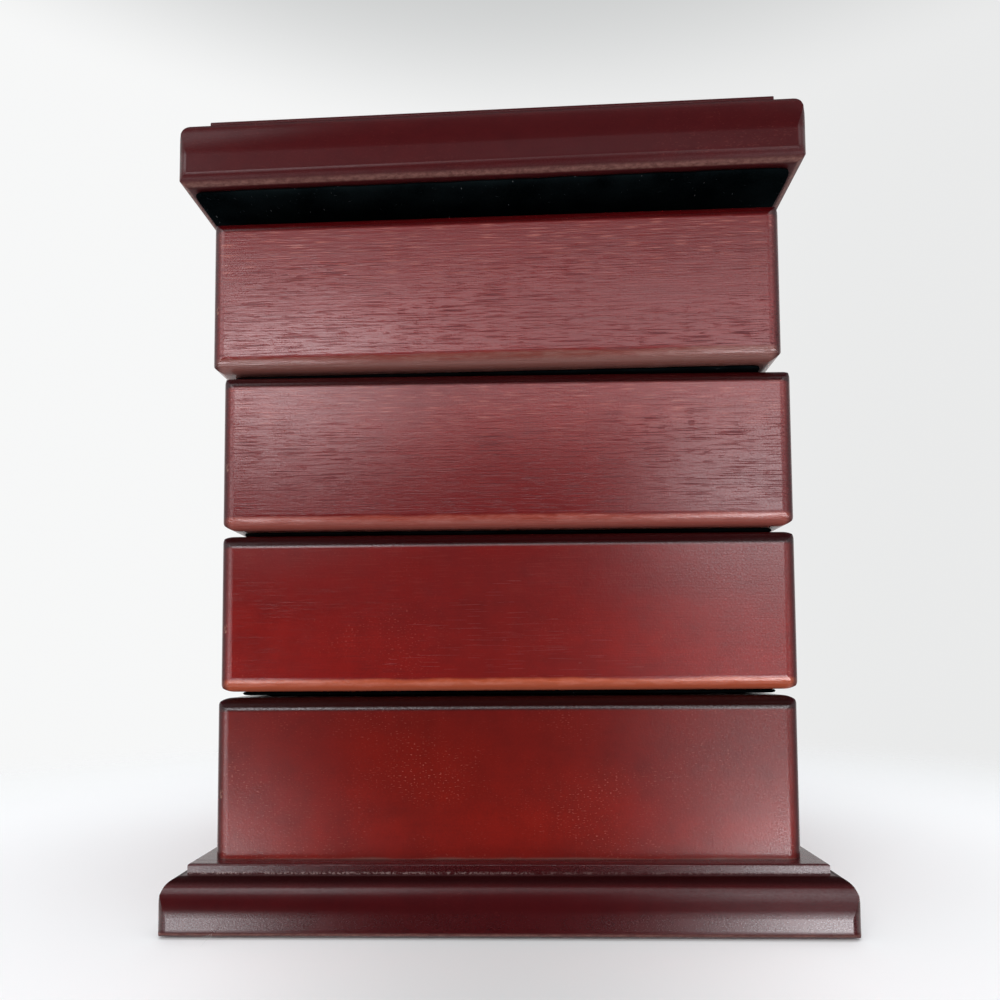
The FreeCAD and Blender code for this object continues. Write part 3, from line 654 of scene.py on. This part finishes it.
def loose_fibres(name, count, seed, spot, length, radius, lie=0.5):
    """Stray fibres: thin curling strands, three-sided. spot gives a root and a direction, in mm."""
    rng = random.Random(seed)
    bm = bmesh.new()
    for _ in range(count):
        root, way = spot(rng)
        root, way = Vector(root), Vector(way).normalized()
        way = (way + Vector((rng.gauss(0, lie), rng.gauss(0, lie), rng.gauss(0, lie * 0.5)))).normalized()
        bend = Vector((rng.gauss(0, 1), rng.gauss(0, 1), rng.gauss(0, 0.4))).normalized()
        reach = rng.uniform(*length)
        thick = radius * rng.uniform(0.7, 1.2)
        rings = []
        for k in range(4):
            t = k / 3
            centre = root + way * (reach * t) + bend * (reach * 0.45 * t * t)
            side = way.cross(Vector((0.3, 0.2, 1))).normalized()
            up = way.cross(side).normalized()
            r = thick * (1 - 0.75 * t)
            rings.append([bm.verts.new((centre + (side * math.cos(a) + up * math.sin(a)) * r) * MM)
                          for a in (0.0, 2.094, 4.189)])
        for one, two in zip(rings, rings[1:]):
            for k in range(3):
                bm.faces.new((one[k], one[(k + 1) % 3], two[(k + 1) % 3], two[k]))
        bm.faces.new(reversed(rings[0]))
        bm.faces.new(rings[-1])
    bmesh.ops.recalc_face_normals(bm, faces=bm.faces)
    mesh = bpy.data.meshes.new(name)
    bm.to_mesh(mesh)
    bm.free()
    piece = bpy.data.objects.new(name, mesh)
    bpy.context.collection.objects.link(piece)
    return piece


def rim_spot(half, low, high):
    """A root on the cut rim of a felt square, pointing out."""
    def spot(rng):
        along, side = rng.uniform(-half + 1.5, half - 1.5), rng.randrange(4)
        z = rng.uniform(low, high)
        return (((along, -half + 0.35, z), (0, -1, 0)), ((half - 0.35, along, z), (1, 0, 0)),
                ((along, half - 0.35, z), (0, 1, 0)), ((-half + 0.35, along, z), (-1, 0, 0)))[side]
    return spot


FUZZ = felt_material("felt_fuzz", (0.004, 0.005, 0.006), (0.016, 0.017, 0.018), 0.0, 0.0, 0.0001)
LINT = felt_material("pale_lint", (0.03, 0.035, 0.04), (0.09, 0.10, 0.105), 0.0, 0.0, 0.0001)
FIBRE = felt_material("pale_fibre", (0.55, 0.54, 0.52), (0.75, 0.74, 0.72), 0.0, 0.0, 0.0001)
ROLL_VELVET = felt_material("ring_roll_velvet", (0.005, 0.005, 0.006), (0.016, 0.016, 0.018), 0.12, 0.3,
                            0.0002)


def add_felts():
    felts = [(f"{tier}_felt", tier, FELT_HALF, FELT_THICKNESS, FELT_HOLE, f"{tier}_floor")
             for tier in TRAYS[:3]]
    felts.append(("lid_felt", "lid", LID_FELT_HALF, LID_FELT_THICKNESS, FELT_HOLE, "lid_board"))
    felts.append(("base_felt_sheet", "base", BASE_FELT_HALF, BASE_FELT_THICKNESS, 0, "base_board"))
    for name, tier, half, thickness, hole, board in felts:
        low, high = FOOT[tier] - thickness, FOOT[tier]
        seed = len(name) + int(half)
        sheet = felt_sheet(name + "_nap", tier, half, 1.5, low, thickness, hole, seed)
        finish_piece(sheet, tier, FELT, name)
        spot = rim_spot(half, low + 0.2, high - 0.2)
        fuzz = loose_fibres(name + "_fuzz", 520, seed, spot, (0.25, 0.9), 0.028)
        place(fuzz, tier)
        finish_piece(fuzz, tier, FUZZ, None)

    # lint on the underside of the lid's felt, most of it at the left front
    def under_lid(rng):
        x = -72 + 144 * rng.random() ** 1.7
        y = -72 + 70 * rng.random() ** 1.5
        return (x, y, FOOT["lid"] - 1.56), (rng.gauss(0, 1), rng.gauss(0, 1), -0.05)

    lint = loose_fibres("lid_felt_lint", 260, 71, under_lid, (0.2, 0.8), 0.035, lie=0.1)
    place(lint, "lid")
    finish_piece(lint, "lid", LINT, None)

    # a few pale fibres caught under the base at its front left
    def under_base(rng):
        return (rng.uniform(-68, -63), -76.2, 0.25), (rng.uniform(-0.5, 0.6), -1, 0.0)

    wisps = loose_fibres("base_wisps", 7, 12, under_base, (3.5, 6.0), 0.05, lie=0.2)
    for v in wisps.data.vertices:
        if v.co.z < 0.2 * MM:
            v.co.z = 0.20 * MM + 0.35 * (v.co.z - 0.25 * MM)
    lowest = min(v.co.z for v in wisps.data.vertices)
    wisps.data.transform(Matrix.Translation((0, 0, max(0.02 * MM - lowest, 0))))
    finish_piece(wisps, "base", FIBRE, None)


def lies_at(edge, height):
    return all(abs(v.co.z - height * MM) < 1e-6 for v in edge.verts)


def velvet_lining(tier, low, high):
    """The lining of one tray: floor and walls in one skin, stepped round the pivot block."""
    half, notch = HALF - WALL - LINING_PLAY, BLOCK_NOTCH
    plan = ((-half, -half), (half, -half), (half, half), (-half + notch, half),
            (-half + notch, half - notch), (-half, half - notch))
    bm = bmesh.new()
    bm.faces.new([bm.verts.new((x * MM, y * MM, low * MM)) for x, y in plan])
    bmesh.ops.bevel(bm, geom=list(bm.verts), offset=1.6 * MM, segments=4, profile=0.5, affect="VERTICES")
    walls = bmesh.ops.extrude_edge_only(bm, edges=list(bm.edges))["geom"]
    tops = [g for g in walls if isinstance(g, bmesh.types.BMVert)]
    bmesh.ops.translate(bm, verts=tops, vec=(0, 0, (high - low) * MM))
    foot = [e for e in bm.edges if len(e.link_faces) == 2 and lies_at(e, low)]
    bmesh.ops.bevel(bm, geom=foot, offset=1.4 * MM, segments=3, profile=0.5, affect="EDGES")
    bmesh.ops.recalc_face_normals(bm, faces=bm.faces)
    mesh = bpy.data.meshes.new(f"{tier}_velvet_lining")
    bm.to_mesh(mesh)
    bm.free()
    lining = bpy.data.objects.new(f"{tier}_velvet_lining", mesh)
    bpy.context.collection.objects.link(lining)
    deselect()
    lining.select_set(True)
    # the open side is up, so the skin grows inwards from the boards
    inward = sum(p.normal.dot(Vector((-p.center.x, -p.center.y, 0))) * p.area for p in mesh.polygons)
    apply_modifier(lining, "SOLIDIFY", thickness=LINING_THICKNESS * MM, offset=1.0 if inward > 0 else -1.0,
                   use_even_offset=True)
    bm = bmesh.new()
    bm.from_mesh(mesh)
    lip = []
    for edge in bm.edges:
        level = [abs(face.normal.z) > 0.9 for face in edge.link_faces]
        if lies_at(edge, high) and len(level) == 2 and any(level) and not all(level):
            lip.append(edge)
    bmesh.ops.bevel(bm, geom=lip, offset=0.35 * MM, segments=2, profile=0.5, affect="EDGES")
    bmesh.ops.recalc_face_normals(bm, faces=bm.faces)
    bm.to_mesh(mesh)
    bm.free()
    place(lining, tier)
    finish_piece(lining, tier, VELVET, f"{tier}_lining")


CLOTH_SCALE = 4.0
CLOTH_FRAMES = 20
PLUMPING = 0.30


def ring_rolls():
    """Five stuffed velvet rolls: the solid's form, plumped by a short cloth run on an enlarged copy."""
    deselect()
    source = nodes["ring_rolls"]
    rolls = source.copy()
    rolls.data = source.data.copy()
    rolls.name = "ring_rolls_velvet"
    rolls.parent = None
    rolls.matrix_world = Matrix.Identity(4)
    bpy.context.collection.objects.link(rolls)
    rolls.hide_render = False
    bm = bmesh.new()
    bm.from_mesh(rolls.data)
    bmesh.ops.remove_doubles(bm, verts=bm.verts, dist=1e-5)
    bmesh.ops.recalc_face_normals(bm, faces=bm.faces)
    for v in bm.verts:
        v.co = v.co - v.normal * 0.25 * MM
    bm.to_mesh(rolls.data)
    bm.free()
    rolls.data.transform(Matrix.Scale(CLOTH_SCALE, 4))
    apply_modifier(rolls, "REMESH", mode="VOXEL", voxel_size=0.0052, use_smooth_shade=True)
    before = [v.co.copy() for v in rolls.data.vertices]
    cloth = rolls.modifiers.new("cloth", "CLOTH")
    cloth.settings.use_pressure = True
    cloth.settings.uniform_pressure_force = 4.0
    cloth.settings.effector_weights.gravity = 0
    for frame_number in range(1, CLOTH_FRAMES + 1):
        bpy.context.scene.frame_set(frame_number)
    bpy.context.view_layer.objects.active = rolls
    bpy.ops.object.modifier_apply(modifier="cloth")
    bpy.context.scene.frame_set(1)
    low = (FOOT["tray_1"] + ROLLS_FOOT) * MM * CLOTH_SCALE
    furthest = PLUMPING * MM * CLOTH_SCALE
    for v, was in zip(rolls.data.vertices, before):
        move = v.co - was
        if move.length > furthest:
            move = move.normalized() * furthest
        v.co = was + move
        v.co.z = max(v.co.z, low)
    rolls.data.transform(Matrix.Scale(1 / CLOTH_SCALE, 4))
    apply_modifier(rolls, "SUBSURF", levels=1, render_levels=1)
    finish_piece(rolls, "tray_1", ROLL_VELVET, "ring_rolls", angle=80)


add_felts()
for tier in TRAYS:
    velvet_lining(tier, FOOT[tier] + LINING_FLOOR, FOOT[tier] + LINING_TOP)
ring_rolls()

# Floor, backdrop and lights
PALE = (0.93, 0.935, 0.935)


def add_floor():
    bpy.ops.mesh.primitive_plane_add(size=3, location=(0, 0, 0))
    floor = bpy.context.object
    floor.name = "floor"
    material, tree, shader = new_material("pale_floor")
    coord = add(tree, "ShaderNodeTexCoord").outputs["Object"]
    # a soft painted shadow lies on the floor before the box, where whoever looks at it stands in the light,
    # tinted a little green against the box's red bounce
    shade = add(tree, "ShaderNodeMapping")
    shade.inputs["Location"].default_value = (0.0, 1.05, 0)
    shade.inputs["Scale"].default_value = (13.0, 7.0, 1)
    tree.links.new(coord, shade.inputs[0])
    near = add(tree, "ShaderNodeVectorMath", operation="LENGTH")
    tree.links.new(shade.outputs[0], near.inputs[0])
    near = ramp(tree, near.outputs["Value"], 0.0, 1.0, smooth=True)
    tree.links.new(mix(tree, near, (0.645, 0.675, 0.670), PALE), shader.inputs["Base Color"])
    shader.inputs["Roughness"].default_value = 0.9
    shader.inputs["Specular IOR Level"].default_value = 0.0
    # the floor runs out softly into the backdrop of its own colour
    reach = add(tree, "ShaderNodeVectorMath", operation="LENGTH")
    tree.links.new(coord, reach.inputs[0])
    clear = add(tree, "ShaderNodeBsdfTransparent")
    blend = add(tree, "ShaderNodeMixShader")
    tree.links.new(ramp(tree, reach.outputs["Value"], 0.16, 0.42, smooth=True), blend.inputs[0])
    tree.links.new(shader.outputs[0], blend.inputs[1])
    tree.links.new(clear.outputs[0], blend.inputs[2])
    tree.links.new(blend.outputs[0], tree.nodes["Material Output"].inputs[0])
    floor.data.materials.append(material)
    floor.visible_glossy = False


def add_backdrop():
    """A pale backdrop that eyes and reflections see, and a plainer light from all sides."""
    world = bpy.data.worlds.new("studio")
    bpy.context.scene.world = world
    world.use_nodes = True
    tree = world.node_tree
    background = tree.nodes["Background"]
    path = add(tree, "ShaderNodeLightPath")
    seen = plus(tree, path.outputs["Is Camera Ray"], path.outputs["Is Transmission Ray"])
    seen = plus(tree, seen, path.outputs["Is Glossy Ray"], clamp=True)
    way = parts(tree, add(tree, "ShaderNodeTexCoord").outputs["Generated"])
    # painted shadow on the backdrop: it darkens towards the right, and for the camera it also darkens at the
    # top
    side = ramp(tree, way[0], -0.45, 0.5, smooth=True)
    backdrop = mix(tree, side, PALE, (0.82, 0.825, 0.825))
    top = times(tree, ramp(tree, way[2], 0.60, 0.72, smooth=True), path.outputs["Is Camera Ray"])
    backdrop = mix(tree, top, backdrop, (0.60, 0.61, 0.61))
    steep = ramp(tree, way[2], 0.45, 0.9, smooth=True)
    ceiling = times(tree, steep, path.outputs["Is Glossy Ray"])
    backdrop = mix(tree, ceiling, backdrop, (0.20, 0.20, 0.21))
    colour = mix(tree, seen, (0.90, 0.93, 0.97), backdrop)
    tree.links.new(colour, background.inputs["Color"])
    tree.links.new(ramp(tree, seen, 0.0, 1.0, 0.62, 1.0), background.inputs["Strength"])


def add_front_card():
    """What the lacquer mirrors from the front: a bright band, brighter sides and a dark middle.

    The camera and the diffuse light don't see it, and its patches end just past what the box's front mirrors.
    """
    bpy.ops.mesh.primitive_plane_add(size=1, location=(0, -1.0, 0.8), rotation=(-math.pi / 2, 0, 0))
    card = bpy.context.object
    card.name = "front_card"
    card.scale = (3.6, 3.6, 1)
    bpy.ops.object.transform_apply(location=True, rotation=True, scale=True)
    material = bpy.data.materials.new("front_card")
    material.use_nodes = True
    tree = material.node_tree
    tree.nodes.remove(tree.nodes["Principled BSDF"])
    x, _, z = parts(tree, add(tree, "ShaderNodeTexCoord").outputs["Object"])

    def patch(level, *edges):
        """A soft-edged patch: each edge is (x or z, dark end, bright end)."""
        value = level
        for along, dark, bright in edges:
            low, high, ends = (dark, bright, (0.0, 1.0)) if dark < bright else (bright, dark, (1.0, 0.0))
            value = times(tree, value, ramp(tree, along, low, high, *ends, smooth=True))
        return value

    patches = (
        patch(3.5, (x, -0.78, -0.54), (x, 0.78, 0.54), (z, 0.37, 0.55), (z, 0.74, 0.58)),
        patch(0.6, (z, 0.50, 0.66), (z, 0.84, 0.70)),
        patch(7.4, (x, -0.12, -0.36), (x, -0.78, -0.54), (z, 0.30, 0.49), (z, 0.64, 0.52)),
        patch(7.4, (x, 0.16, 0.38), (x, 0.78, 0.54), (z, 0.14, 0.34), (z, 0.52, 0.38)),
        patch(2.4, (x, 0.16, 0.42), (x, 0.78, 0.54), (z, 0.40, 0.10)),
        patch(1.0, (x, -0.32, -0.50), (z, 0.10, -0.2)),
        patch(9.5, (x, -0.36, -0.52), (x, -0.78, -0.57), (z, -0.12, -0.30)),
        patch(2.6, (x, -0.62, -0.84), (z, -0.5, -0.2)),
        patch(1.4, (x, 0.66, 0.90), (z, -0.5, -0.2)),
        patch(13.5, (x, 0.30, 0.50), (x, 0.78, 0.57), (z, -0.12, -0.30)),
    )
    total = patches[0]
    for more in patches[1:]:
        total = plus(tree, total, more)
    glow = add(tree, "ShaderNodeEmission")
    glow.inputs["Color"].default_value = (1.0, 0.98, 1.02, 1)
    tree.links.new(total, glow.inputs["Strength"])
    tree.links.new(glow.outputs[0], tree.nodes["Material Output"].inputs[0])
    material.cycles.emission_sampling = "NONE"
    card.data.materials.append(material)
    card.visible_camera = card.visible_diffuse = card.visible_transmission = False
    card.visible_volume_scatter = card.visible_shadow = False


def add_lamp(name, at, aim, size, power):
    data = bpy.data.lights.new(name, "AREA")
    data.shape = "RECTANGLE"
    data.size, data.size_y = size
    data.energy = power
    lamp = bpy.data.objects.new(name, data)
    at, aim = Vector(at), Vector(aim)
    lamp.matrix_world = Matrix.Translation(at) @ (at - aim).to_track_quat("Z", "Y").to_matrix().to_4x4()
    bpy.context.collection.objects.link(lamp)
    lamp.visible_camera = False
    lamp.visible_glossy = False


add_floor()
add_backdrop()
add_front_card()
add_lamp("front_window", at=(-0.15, -1.0, 0.60), aim=(0, 0, 0.10), size=(1.2, 0.5), power=7.0)
add_lamp("overhead", at=(0.05, 0.0, 1.3), aim=(0, 0, 0.1), size=(1.2, 1.2), power=7.0)

bpy.context.scene.view_settings.view_transform = "Standard"
